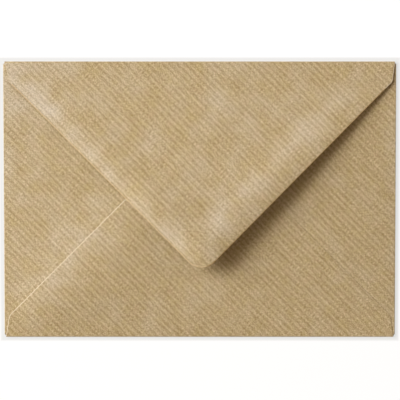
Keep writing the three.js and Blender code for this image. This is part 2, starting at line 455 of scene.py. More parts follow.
    def pointed_corners(self, form: PointedForm, root_depth: float, edge: Edge) -> list[Corner]:
        """Lays out a pointed flap.

        Args:
            form: Sizes of the flap.
            root_depth: From the envelope's edge to where the flap leaves its crease.
            edge: The fold that it hangs from, top or bottom.

        Returns:
            Corners with their radii, the fold first, anticlockwise seen from above.
        """
        foot = self.half_length - form.foot_inset
        root_y = self.half_height - root_depth
        sign = 1 if edge is Edge.TOP else -1
        left, right = (form.left, form.right)[::sign]
        apex_x, apex_depth = form.apex(self.half_length)
        corners = [
            (foot, root_y, 0.0),
            (-foot, root_y, 0.0),
            (left.inset - self.half_length, self.half_height - left.depth, left.radius),
            (sign * apex_x, self.half_height - apex_depth, form.tip_radius),
            (self.half_length - right.inset, self.half_height - right.depth, right.radius),
        ]
        return [(sign * x, sign * y, radius) for x, y, radius in corners]

    def side_flap_corners(self, hand: Hand) -> list[Corner]:
        """Lays out a side flap.

        Args:
            hand: Which of the two.

        Returns:
            Corners with their radii, the fold first, anticlockwise seen from above.
        """
        seam = self.bottom.left
        root_x = -self.half_length + self.crease_radius(self.side_level)
        tip_x = -seam.reach(self.half_length, self.half_height, self.seam_overlap)
        foot_y = self.half_height - self.side_foot_gap
        shoulder_y = self.half_height - self.side_shoulder_gap
        shoulder_x = tip_x - shoulder_y / math.tan(seam.angle)
        corners = [
            (root_x, foot_y, 0.0),
            (root_x, -foot_y, 0.0),
            (shoulder_x, -shoulder_y, self.side_shoulder_radius),
            (tip_x, 0.0, self.side_tip_radius),
            (shoulder_x, shoulder_y, self.side_shoulder_radius),
        ]
        return [(hand.value * x, hand.value * y, radius) for x, y, radius in corners]

    def seam_corners(self, hand: Hand) -> list[Corner]:
        """Lays out a line of glue.

        Args:
            hand: Which of the two.

        Returns:
            Corners, anticlockwise seen from above.
        """
        seam = self.bottom.left if hand is Hand.LEFT else self.bottom.right
        near = seam.depth + self.glue_lead
        far = self.half_height - self.glue_end_gap
        outer, inner = self.glue_margin, self.glue_margin + self.glue_width
        corners = [
            (-seam.reach(self.half_length, depth, inset), depth - self.half_height, 0.0)
            for depth, inset in ((near, outer), (near, inner), (far, inner), (far, outer))
        ]
        return [(hand.value * x, y, radius) for x, y, radius in corners][:: hand.value]

    def gum_corners(self, inset: float, tip_radius: float, rise: float = 0.0) -> list[Corner]:
        """Lays out the triangle between the gum band's ends and the seal flap's long edges.

        Args:
            inset: How far its long edges lie inside the flap's.
            tip_radius: Radius of its tip.
            rise: How far its top stands above the band's ends.

        Returns:
            Corners with their radii, the top first, anticlockwise seen from below.
        """
        near = self.seal.left.depth + self.gum_lead - rise
        top = self.half_height - near
        left = -self.seal.left.reach(self.half_length, near, inset)
        right = self.seal.right.reach(self.half_length, near, inset)
        apex_x, apex_depth = self.seal.apex(self.half_length, inset)
        apex = (apex_x, self.half_height - apex_depth, tip_radius)
        return [(right, top, 0.0), (left, top, 0.0), apex]


FORM = FoldedForm()


@dataclass(frozen=True)
class Side:
    """One straight run of an outline: where it starts, which way is out, and its trimmed strip."""

    start: Vector
    normal: Vector
    length: float
    trim: float

    def distance(self, point: Vector) -> float:
        """How far a point lies outside the run's line moved in by its trim."""
        return (point - self.start).dot(self.normal) + self.trim


def rounded_sides(corners: Sequence[Corner], folds: frozenset[int], trim: float) -> list[Side]:
    """Straight runs round an outline whose corners are rounded.

    Args:
        corners: Corners with their radii, anticlockwise.
        folds: Numbers of the corners after which the outline runs along a fold.
        trim: Width of the strip along a cut edge.

    Returns:
        The runs in order, each arc as short ones.
    """
    points: list[tuple[Vector, float]] = []
    for i, (x, y, radius) in enumerate(corners):
        corner = Vector((x, y))
        width = 0.0 if i in folds else trim
        if radius == 0:
            points.append((corner, width))
            continue
        back = (Vector(corners[i - 1][:2]) - corner).normalized()
        ahead = (Vector(corners[(i + 1) % len(corners)][:2]) - corner).normalized()
        half_angle = back.angle(ahead) / 2
        centre = corner + (back + ahead).normalized() * (radius / math.sin(half_angle))
        spoke = corner + back * (radius / math.tan(half_angle)) - centre
        sweep = math.pi - 2 * half_angle
        steps = max(3, round(sweep * radius / ARC_STEP))
        for step in range(steps + 1):
            turned = Matrix.Rotation(sweep * step / steps, 2) @ spoke
            points.append((centre + turned, trim if step < steps else width))
    sides = []
    for i, (start, width) in enumerate(points):
        run = points[(i + 1) % len(points)][0] - start
        if run.length > WELD:
            along = run.normalized()
            sides.append(Side(start, Vector((along.y, -along.x)), run.length, width))
    return sides


def meeting(first: Side, second: Side) -> Vector:
    """Finds where the outer lines of two runs cross.

    Args:
        first: One run.
        second: A run that isn't parallel to it.

    Returns:
        The crossing.
    """
    rows = Matrix((first.normal, second.normal))
    offsets = (first.normal.dot(first.start), second.normal.dot(second.start))
    return rows.inverted() @ Vector(offsets)


def select_nothing() -> None:
    """Leaves object mode with nothing selected."""
    if bpy.context.object and bpy.context.object.mode != "OBJECT":
        bpy.ops.object.mode_set(mode="OBJECT")
    bpy.ops.object.select_all(action="DESELECT")


def make_active(piece: Piece) -> None:
    """Selects one object alone and makes it the active one.

    Args:
        piece: The object.
    """
    select_nothing()
    piece.select_set(True)
    bpy.context.view_layer.objects.active = piece


def start_grid(name: str, counts: Sequence[int], size: Sequence[float], **place: tuple) -> Piece:
    """Adds a flat grid and leaves it in edit mode.

    Args:
        name: The piece's name.
        counts: Number of cells each way.
        size: Its length and width.
        **place: Its location, and its rotation where it has one.

    Returns:
        The new piece, at the origin, unturned and unscaled.
    """
    select_nothing()
    bpy.ops.mesh.primitive_grid_add(
        x_subdivisions=counts[0], y_subdivisions=counts[1], size=1, calc_uvs=False, **place
    )
    piece = bpy.context.object
    piece.name = piece.data.name = name
    piece.scale = (*size, 1)
    bpy.ops.object.transform_apply(location=True, rotation=True, scale=True)
    bpy.ops.object.mode_set(mode="EDIT")
    return piece


def thicken(piece: Piece, thickness: float) -> None:
    """Gives a sheet its thickness below the modelled face, with the cut material round its rim.

    Args:
        piece: The sheet, as one layer of faces.
        thickness: That of the finished sheet.
    """
    make_active(piece)
    wall = piece.modifiers.new("paper", "SOLIDIFY")
    wall.thickness = thickness
    wall.offset = -1
    wall.material_offset_rim = 1  # the rim takes the material after the face's
    bpy.ops.object.modifier_apply(modifier=wall.name)


def finish_mesh(piece: Piece, sharp: float = 40.0) -> None:
    """Shades a piece and brings it from millimetres to metres.

    Args:
        piece: The finished piece.
        sharp: Angle in degrees from which an edge stays crisp.
    """
    make_active(piece)
    bpy.ops.object.shade_smooth_by_angle(angle=math.radians(sharp))
    piece.data.transform(Matrix.Scale(MM, 4))
    piece.data.update()


def settle(piece: Piece, body: Body, node: str, sharp: float = 40.0) -> None:
    """Finishes a piece's mesh and ties it to the frame.

    Args:
        piece: The piece, still in millimetres.
        body: The body that it moves with.
        node: The CAD node that it stands for.
        sharp: Angle in degrees from which an edge stays crisp.
    """
    finish_mesh(piece, sharp)
    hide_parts(node)
    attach(piece, body.value)
    log.info("%s: %d vertices", piece.name, len(piece.data.vertices))


def add_node(
    tree: Tree, kind: str, inputs: dict | None = None, output: int | str = 0, **settings: object
) -> Socket | None:
    """Adds a node to a tree.

    Args:
        tree: The node tree.
        kind: The node's type, without the ShaderNode that its name begins with.
        inputs: Sockets by name or number, each with a value or an output socket to link.
        output: Name or number of the output to hand on.
        **settings: The node's own properties.

    Returns:
        That output, or None from a node without outputs.
    """
    node = tree.nodes.new(f"ShaderNode{kind}")
    for key, value in settings.items():
        setattr(node, key, value)
    for key, value in (inputs or {}).items():
        if isinstance(value, Socket):
            tree.links.new(value, node.inputs[key])
        else:
            node.inputs[key].default_value = value
    return node.outputs[output] if node.outputs else None


def empty_material(name: str) -> Material:
    """Starts a material.

    Args:
        name: The material's name.

    Returns:
        The new material, its node tree empty.
    """
    material = bpy.data.materials.new(name)
    material.use_nodes = True
    material.node_tree.nodes.clear()
    return material


def blank_place(tree: Tree) -> Socket:
    """Finds each point's place on the flat sheet, so that patterns run on round the folds.

    Args:
        tree: The node tree.

    Returns:
        The place in millimetres, turned so that X crosses the ribs.
    """
    place = add_node(tree, "UVMap", uv_map=BLANK_MAP)
    turn = (0, 0, math.radians(45))
    scale = (1 / MM, 1 / MM, 1 / MM)
    return add_node(tree, "Mapping", {"Vector": place, "Rotation": turn, "Scale": scale})


def directly_seen(tree: Tree) -> Socket:
    """Tells what the camera sees, also in a gloss or through a film, from light on its way.

    Args:
        tree: The node tree.

    Returns:
        1 where it is seen, else 0.
    """
    path = add_node(tree, "LightPath").node
    rays = path.outputs["Is Camera Ray"]
    for kind in ("Is Glossy Ray", "Is Transmission Ray"):
        rays = add_node(tree, "Math", {0: rays, 1: path.outputs[kind]}, operation="ADD")
    return add_node(tree, "Math", {0: rays, 1: 1.0}, operation="MINIMUM")


@dataclass(frozen=True)
class Pattern:
    """Noise on the flat sheet, drawn out along the ribs."""

    size: float  # across the ribs, in millimetres
    detail: float  # number of finer layers
    stretch: float = 1.0  # how many times as long as it is wide
    offset: float = 0.0  # where in the noise it is taken, so that no two patterns match
    share: float = 1.0  # how strongly it works on what it is added to
    roughness: float = 0.6

    def add(self, tree: Tree, place: Socket) -> Socket:
        """Adds the noise.

        Args:
            tree: The node tree.
            place: Place on the blank.

        Returns:
            Its value, 0.5 on the average.
        """
        start = (self.offset, self.offset * 0.7, 0)
        scale = (1 / self.size, 1 / (self.size * self.stretch), 1)
        laid = add_node(tree, "Mapping", {"Vector": place, "Location": start, "Scale": scale})
        sockets = {"Scale": 1.0, "Detail": self.detail, "Roughness": self.roughness}
        return add_node(tree, "TexNoise", {"Vector": laid, **sockets}, noise_dimensions="2D")


@dataclass(frozen=True)
class Fibres:
    """Scattered short fibres along the ribs, wherever a noise is high."""

    pattern: Pattern
    colour: str
    rarity: float = 0.74  # the noise's value at which a fibre begins to show
    fade: float = 0.07  # from there to where it shows in full

    def add(self, tree: Tree, place: Socket) -> Socket:
        """Adds the fibres.

        Args:
            tree: The node tree.
            place: Place on the blank.

        Returns:
            How far they cover the paper, 0 between them.
        """
        ramp = {"From Min": self.rarity, "From Max": self.rarity + self.fade}
        sockets = {"Value": self.pattern.add(tree, place), "To Max": self.pattern.share, **ramp}
        return add_node(tree, "MapRange", sockets, interpolation_type="SMOOTHSTEP")


class Finish:
    """A finish of the envelope, made as a material with one Principled shader."""

    name: str

    def sockets(self, tree: Tree) -> dict[str, object]:
        """What the shader's sockets get, by name."""
        raise NotImplementedError

    def material(self) -> Material:
        """Makes the material.

        Returns:
            The new material, named for the finish.
        """
        material = empty_material(self.name)
        tree = material.node_tree
        shader = add_node(tree, "BsdfPrincipled", self.sockets(tree))
        add_node(tree, "OutputMaterial", {"Surface": shader})
        return material


@dataclass(frozen=True)
class RibbedKraft(Finish):
    """Unbleached sulphate kraft, pressed on a ribbed felt: matt, with fine pale and dark lines.

    A kraft fibre is about 0.03 mm wide, too fine to show, so fibres are drawn about ten times as
    wide. The ribs are in the mesh too, and the colour follows them: pale crests, dark valleys.
    """

    name: str = "ribbed_kraft_paper"
    dark: str = "#967f52"
    light: str = "#e3d1ab"
    rosy: str = "#c7ac8a"
    yellow: str = "#bfab77"
    # Pale colour of the painted sheen, which the faint random clouds take too.
    sheen_dark: str = "#bcaf9f"
    sheen_light: str = "#f3ead8"
    worn: str = "#ead9b6"
    rib_pitch: float = 2.16
    level: float = 0.35  # even share of the light colour
    rib_share: float = 0.25
    rib_floor: float = 0.87  # what is left of the ribs where their patches are faintest
    patches: Pattern = Pattern(16.0, 2.0, 1.0, 31.0, 0.3)
    tones: tuple[Pattern, ...] = (
        Pattern(5.0, 3.0, share=0.26),  # clouds
        Pattern(1.2, 2.0, 2.4, 43.0, 0.15),  # mottle
        Pattern(0.8, 2.0, 14.0, 23.0, 0.44),  # streaks along the ribs
    )
    grain: Pattern = Pattern(0.36, 3.0, 2.0, 17.0, 2.35)
    hue: Pattern = Pattern(4.0, 2.0, 1.0, 53.0, 0.35)
    hue_spread: float = 0.25  # from the noise's middle to where the rosy or yellow is in full
    bloom: Pattern = Pattern(12.0, 1.0, 1.0, 61.0, 0.4)
    bloom_start: float = 0.49  # the noise's value at which the faint clouds begin
    sheen_floor: float = 0.2  # what is left of the painted sheen where the noise is 0
    sheen_swing: float = 1.6  # what the noise adds to it
    fibres: tuple[Fibres, ...] = (
        Fibres(Pattern(0.35, 1.0, 5.0, 71.0, 0.45), "#7c6140"),
        Fibres(Pattern(0.55, 1.0, 1.6, 83.0, 0.6), "#7c6140", rarity=0.78),  # specks of bark
        Fibres(Pattern(0.30, 1.0, 4.0, 97.0, 0.3), "#ead9b6"),
    )
    wear: float = 0.0  # how far a fold's raised fibres pale it
    wear_pattern: Pattern = Pattern(0.5, 2.0, 1.0, 11.0)
    roughness: float = 0.82
    relief: float = 0.03  # of the fine relief that the mesh is too coarse for, in millimetres
    rib_relief: float = 0.5  # shares of it
    grain_relief: float = 0.25

    def ribs(self, tree: Tree, place: Socket) -> Socket:
        """Adds the parallel ribs, a little uneven.

        Args:
            tree: The node tree.
            place: Place on the blank.

        Returns:
            0 in the valleys, 1 on the crests.
        """
        sockets = {
            "Vector": place,
            "Scale": TAU / (20 * self.rib_pitch),  # a wave texture of scale 1 repeats each TAU / 20
            "Distortion": 0.4,
            "Detail": 3.0,
            "Detail Scale": 1.6,
            "Detail Roughness": 0.7,
        }
        return add_node(tree, "TexWave", sockets, "Fac", bands_direction="X", wave_profile="SIN")

    def paleness(self, tree: Tree, place: Socket) -> Socket:
        """Adds the paleness: the painted sheen of the spots, uneven, and faint random pale clouds
        all over.

        Args:
            tree: The node tree.
            place: Place on the blank.

        Returns:
            Its share of the colour.
        """
        bloom = self.bloom.add(tree, place)
        sheen_mask = add_node(tree, "Attribute", output="Fac", attribute_name=PAINTED_SHEEN)
        swing = {0: bloom, 1: self.sheen_swing, 2: self.sheen_floor}
        uneven = add_node(tree, "Math", swing, operation="MULTIPLY_ADD")
        share = add_node(tree, "Math", {0: sheen_mask, 1: uneven}, operation="MULTIPLY")
        clouds = add_node(tree, "Math", {0: bloom, 1: self.bloom_start}, operation="SUBTRACT")
        sockets = {0: clouds, 1: self.bloom.share, 2: share}
        return add_node(tree, "Math", sockets, operation="MULTIPLY_ADD")

    def level_of_light(self, tree: Tree, place: Socket, ribs: Socket, grain: Socket) -> Socket:
        """Adds up what makes the paper lighter and darker.

        Args:
            tree: The node tree.
            place: Place on the blank.
            ribs: The ribs' height.
            grain: The grain's height.

        Returns:
            Share of the light colour in the paper.
        """
        patches = {0: self.patches.add(tree, place), 1: self.patches.share, 2: self.rib_floor}
        strength = add_node(tree, "Math", patches, operation="MULTIPLY_ADD")
        drift = add_node(tree, "Math", {0: ribs, 1: 0.5}, operation="SUBTRACT")
        drift = add_node(tree, "Math", {0: drift, 1: strength}, operation="MULTIPLY")
        sockets = {0: drift, 1: self.rib_share, 2: self.level}
        level = add_node(tree, "Math", sockets, operation="MULTIPLY_ADD")
        tones = [(tone.add(tree, place), tone.share) for tone in self.tones]
        for value, share in (*tones, (grain, self.grain.share)):
            drift = add_node(tree, "Math", {0: value, 1: 0.5}, operation="SUBTRACT")
            sockets = {0: drift, 1: share, 2: level}
            level = add_node(tree, "Math", sockets, operation="MULTIPLY_ADD")
        return level

    def colour(self, tree: Tree, place: Socket) -> tuple[Socket, Socket, Socket]:
        """Adds the paper's colour.

        Args:
            tree: The node tree.
            place: Place on the blank.

        Returns:
            The colour, and the rib and grain heights that its relief follows.
        """
        ribs = self.ribs(tree, place)
        grain = self.grain.add(tree, place)
        level = self.level_of_light(tree, place, ribs, grain)
        tint, painted_sheen = (
            add_node(tree, "Mix", {0: level, 6: linear(low), 7: linear(high)}, 2, data_type="RGBA")
            for low, high in ((self.dark, self.light), (self.sheen_dark, self.sheen_light))
        )
        layers: list[tuple[Socket, Socket | tuple]] = []
        hue = self.hue.add(tree, place)
        for shade, spread in ((self.rosy, self.hue_spread), (self.yellow, -self.hue_spread)):
            ramp = {"From Min": 0.5, "From Max": 0.5 + spread, "To Max": self.hue.share}
            share = add_node(tree, "MapRange", {"Value": hue, **ramp})
            layers.append((share, linear(shade)))
        layers.append((self.paleness(tree, place), painted_sheen))
        layers += [(fibres.add(tree, place), linear(fibres.colour)) for fibres in self.fibres]
        if self.wear:
            worn = {0: self.wear_pattern.add(tree, place), 1: self.wear}
            share = add_node(tree, "Math", worn, operation="MULTIPLY")
            layers.append((share, linear(self.worn)))
        for share, shade in layers:
            tint = add_node(tree, "Mix", {0: share, 6: tint, 7: shade}, 2, data_type="RGBA")
        return tint, ribs, grain

    def sockets(self, tree: Tree) -> dict[str, object]:
        """Gives the shader its colour, its matt surface and its fine relief.

        Args:
            tree: The node tree.

        Returns:
            What the shader's sockets get, by name.
        """
        tint, ribs, grain = self.colour(tree, blank_place(tree))
        crests = add_node(tree, "Math", {0: ribs, 1: self.rib_relief}, operation="MULTIPLY")
        rough = {0: grain, 1: self.grain_relief, 2: crests}
        height = add_node(tree, "Math", rough, operation="MULTIPLY_ADD")
        relief = {"Strength": 1.0, "Distance": self.relief * MM, "Height": height}
        return {
            "Base Color": tint,
            "Roughness": self.roughness,
            "Specular IOR Level": 0.3,
            "Normal": add_node(tree, "Bump", relief),
        }


@dataclass(frozen=True)
class DieCutEdge(Finish):
    """Cut and slightly crushed kraft fibre: paler than the face where it is fresh, and matt."""

    name: str = "die_cut_kraft_edge"
    shade: str = "#c4b395"
    light: str = "#dacdb4"
    fibre: Pattern = Pattern(0.6, 3.0)

    def sockets(self, tree: Tree) -> dict[str, object]:
        """Gives the shader its two shades of fibre.

        Args:
            tree: The node tree.

        Returns:
            What the shader's sockets get, by name.
        """
        fibre = self.fibre.add(tree, blank_place(tree))
        shades = {0: fibre, 6: linear(self.shade), 7: linear(self.light)}
        tint = add_node(tree, "Mix", shades, 2, data_type="RGBA")
        return {"Base Color": tint, "Roughness": 0.95, "Specular IOR Level": 0.2}


@dataclass(frozen=True)
class DriedGum(Finish):
    """Remoistenable dextrin gum, rolled on thin and dried clear: a glossy, slightly crazed film."""

    name: str = "dried_envelope_gum"
    film: str = "#b08f5c"
    film_share: float = 0.35  # how far the film hides the ribbed paper under it
    pools: Pattern = Pattern(1.1, 3.0, 1.0, 5.0, 0.8)
    roughness: float = 0.24
    relief: float = 0.02

    def sockets(self, tree: Tree) -> dict[str, object]:
        """Gives the shader the film, with the ribbed paper seen through it.

        Args:
            tree: The node tree.

        Returns:
            What the shader's sockets get, by name.
        """
        place = blank_place(tree)
        tint, ribs, _ = RibbedKraft().colour(tree, place)
        pooled = {0: self.pools.add(tree, place), 1: self.pools.share, 2: ribs}
        height = add_node(tree, "Math", pooled, operation="MULTIPLY_ADD")
        relief = {"Strength": 1.0, "Distance": self.relief * MM, "Height": height}
        seen = {0: self.film_share, 6: tint, 7: linear(self.film)}
        return {
            "Base Color": add_node(tree, "Mix", seen, 2, data_type="RGBA"),
            "Roughness": self.roughness,
            "IOR": 1.5,
            "Normal": add_node(tree, "Bump", relief),
        }


@dataclass(frozen=True)
class SeamGlue(Finish):
    """Cream dispersion glue, rolled on in a stripe and pressed: a dull waxy film with pools."""

    name: str = "seam_dispersion_glue"
    thin: str = "#cdb88e"
    thick: str = "#e3d8bd"
    pools: Pattern = Pattern(1.5, 3.0)
    relief: float = 0.02

    def sockets(self, tree: Tree) -> dict[str, object]:
        """Gives the shader its pools, paler where they are thick.

        Args:
            tree: The node tree.

        Returns:
            What the shader's sockets get, by name.
        """
        pools = self.pools.add(tree, blank_place(tree))
        shades = {0: pools, 6: linear(self.thin), 7: linear(self.thick)}
        relief = {"Strength": 1.0, "Distance": self.relief * MM, "Height": pools}
        return {
            "Base Color": add_node(tree, "Mix", shades, 2, data_type="RGBA"),
            "Roughness": 0.45,
            "Normal": add_node(tree, "Bump", relief),
        }


@dataclass(frozen=True)
class Finishes:
    """The object's materials."""

    kraft: Material
    crease: Material
    cut: Material
    worn: Material
    thumbed: Material
    gum: Material
    glue: Material

    @classmethod
    def made(cls) -> Finishes:
        """Builds each material once.

        Returns:
            All of them.
        """
        return cls(
            kraft=RibbedKraft().material(),
            crease=RibbedKraft("creased_kraft_paper", rib_share=0.1, wear=0.12).material(),
            cut=DieCutEdge().material(),
            worn=DieCutEdge("worn_kraft_edge", "#c6ab82", "#dcc49c").material(),
            # brown cut edge: painted shade on the seal flap's right edge, away from the lamps
            thumbed=DieCutEdge("shaded_kraft_edge", "#9a7a4c", "#b59766").material(),
            gum=DriedGum().material(),
            glue=SeamGlue().material(),
        )


@dataclass
class PaperSheet:
    """A flat or bowed sheet, cut from a grid that lies along the ribs.

    Its upper face stands at height(x, y), and blank(x, y) is its place on the flat sheet.
    """

    name: str
    corners: list[Corner]
    height: Plan
    blank: Place
    thickness: float = FORM.paper
    run: RibRun = RibRun.FALLING
    folds: frozenset[int] = frozenset({0})
    trim: float = 0.36  # width of the strip that the die crushes along a cut edge
    lip: float = 0.1  # how far the strip is crushed down
    lip_unevenness: float = 0.12
    lip_wave: float = 0.9
    cell: tuple[float, float] = (0.36, 3.0)  # across the ribs and along them
    relief: float = 0.036  # from the ribs' valleys to their crests
    relief_run_in: float = 1.2  # from a fold, which is pressed flat, to full ribs
    # how strongly painted sheen pales each point
    painted_sheen: Plan = lambda x, y: 0.0
    rim: Callable[[float, float], Rim] = lambda x, y: Rim.FRESH
    cutout: list[Corner] = field(default_factory=list)

    def build(self, *materials: Material) -> Piece:
        """Makes the sheet.

        Args:
            *materials: That of its two faces, then those that rim names for its cut edge.

        Returns:
            The finished piece, still in millimetres.
        """
        self.sides = rounded_sides(self.corners, self.folds, self.trim)
        sheet = self.add_grid()
        for material in materials:
            sheet.data.materials.append(material)
        self.cut_outline()
        if self.cutout:
            self.cut_hole()
        outline = self.add_trimmed_strip(sheet)
        self.map_and_raise(sheet)
        thicken(sheet, self.thickness)
        self.crush_rim(sheet, outline)
        return sheet

    def add_grid(self) -> Piece:
        """Adds a grid under the whole outline, its X across the ribs.

        Returns:
            The new piece, in edit mode.
        """
        turn = Matrix.Rotation(math.radians(self.run.value), 2)
        turned_back = [turn.transposed() @ Vector(corner[:2]) for corner in self.corners]
        low = Vector(min(p[i] for p in turned_back) for i in (0, 1))
        high = Vector(max(p[i] for p in turned_back) for i in (0, 1))
        counts = [math.ceil((high[i] - low[i]) / self.cell[i]) + 2 for i in (0, 1)]
        size = [count * cell for count, cell in zip(counts, self.cell)]
        middle = turn @ ((low + high) / 2)
        rotation = (0, 0, math.radians(self.run.value))
        return start_grid(self.name, counts, size, location=(*middle, 0), rotation=rotation)

    def cut_outline(self) -> None:
        """Bisects the grid along every run of the outline, longest first, and drops the waste."""
        for side in sorted(self.sides, key=lambda run: -run.length):
            bpy.ops.mesh.select_all(action="SELECT")
            point = side.start - side.normal * side.trim
            bpy.ops.mesh.bisect(
                plane_co=(*point, 0), plane_no=(*side.normal, 0), clear_outer=True, threshold=ON_CUT
            )

    def cut_hole(self) -> None:
        """Bisects along the cutout's runs and drops what lies inside them."""
        runs = rounded_sides(self.cutout, frozenset(), 0.0)
        for side in runs:
            bpy.ops.mesh.select_all(action="SELECT")
            bpy.ops.mesh.bisect(
                plane_co=(*side.start, 0), plane_no=(*side.normal, 0), threshold=ON_CUT
            )
        mesh = bpy.context.object.data
        shell = bmesh.from_edit_mesh(mesh)
        bpy.ops.mesh.select_all(action="DESELECT")
        for face in shell.faces:
            centre = face.calc_center_median().xy
            face.select_set(all(side.distance(centre) < 0 for side in runs))
        bmesh.update_edit_mesh(mesh)
        bpy.ops.mesh.delete(type="FACE")

    def add_trimmed_strip(self, sheet: Piece) -> list[int]:
        """Extrudes the cut edges out to the outline as the strip that the die crushes.

        Args:
            sheet: The cut grid, in edit mode.

        Returns:
            Numbers of the vertices on the outline's cut edges.
        """
        bpy.ops.mesh.select_all(action="SELECT")
        bpy.ops.mesh.remove_doubles(threshold=WELD)
        if self.trim == 0:
            bpy.ops.object.mode_set(mode="OBJECT")
            return []
        self.select_cut_edges(sheet)
        bpy.ops.mesh.extrude_edges_indiv()
        shell = bmesh.from_edit_mesh(sheet.data)
        for vertex in shell.verts:
            if vertex.select:
                self.push_out(vertex)
        for face in shell.faces:
            face.normal_update()
            if face.normal.z < 0:
                face.normal_flip()
        bmesh.update_edit_mesh(sheet.data)
        bpy.ops.object.mode_set(mode="OBJECT")
        return [vertex.index for vertex in sheet.data.vertices if vertex.select]

    def select_cut_edges(self, sheet: Piece) -> None:
        """Selects the sheet's edges that lie along the cut runs of its outline.

        Args:
            sheet: The cut grid, in edit mode.
        """
        bpy.ops.mesh.select_mode(type="EDGE")
        bpy.ops.mesh.select_all(action="DESELECT")
        shell = bmesh.from_edit_mesh(sheet.data)
        cuts = [side for side in self.sides if side.trim]
        for edge in shell.edges:
            if edge.is_boundary:
                ends = [vertex.co.xy for vertex in edge.verts]
                edge.select_set(
                    any(all(abs(side.distance(end)) < ON_LINE for end in ends) for side in cuts)
                )
        bmesh.update_edit_mesh(sheet.data)

    def push_out(self, vertex: bmesh.types.BMVert) -> None:
        """Moves a vertex of the strip out to the outline and gives its faces their material.

        Args:
            vertex: Still at the inner edge of the strip.
        """
        place = vertex.co.xy
        near = [side for side in self.sides if abs(side.distance(place)) < ON_LINE]
        if len(near) == 1:
            vertex.co.xy = place + near[0].normal * near[0].trim
        else:
            vertex.co.xy = meeting(near[0], near[-1])
        for face in vertex.link_faces:
            face.material_index = self.rim(*place).value

    def map_and_raise(self, sheet: Piece) -> None:
        """Maps every point to the blank, then raises it to the bowed face and its ribs.

        Args:
            sheet: The flat sheet.
        """
        mesh = sheet.data
        blanks = [self.blank(vertex.co.x, vertex.co.y) for vertex in mesh.vertices]
        layer = mesh.uv_layers.new(name=BLANK_MAP)
        for loop in mesh.loops:
            u, v = blanks[loop.vertex_index]
            layer.uv[loop.index].vector = (u * MM, v * MM)
        # painted sheen, stored per point for the material
        sheen_mask = mesh.attributes.new(PAINTED_SHEEN, "FLOAT", "POINT")
        folds = [side for side in self.sides if side.trim == 0]
        for vertex, (u, v) in zip(mesh.vertices, blanks):
            x, y = vertex.co.xy
            sheen_mask.data[vertex.index].value = self.painted_sheen(x, y)
            inside = min((-side.distance(vertex.co.xy) for side in folds), default=math.inf)
            depth = self.relief * smoothstep(inside, 0, self.relief_run_in)
            phase = TAU * (u - v) / math.sqrt(2) / RibbedKraft.rib_pitch
            vertex.co.z = self.height(x, y) + depth / 2 * math.cos(phase)
        mesh.update()

    def crush_rim(self, sheet: Piece, outline: list[int]) -> None:
        """Rounds the upper lip of the cut edge down, unevenly, as a die leaves it.

        Args:
            sheet: The thickened sheet.
            outline: Numbers of the vertices on its cut edges.
        """
        for index in outline:
            vertex = sheet.data.vertices[index]
            uneven = noise.noise(vertex.co / self.lip_wave)
            vertex.co.z -= self.lip * (1 + self.lip_unevenness * uneven)
        sheet.data.update()


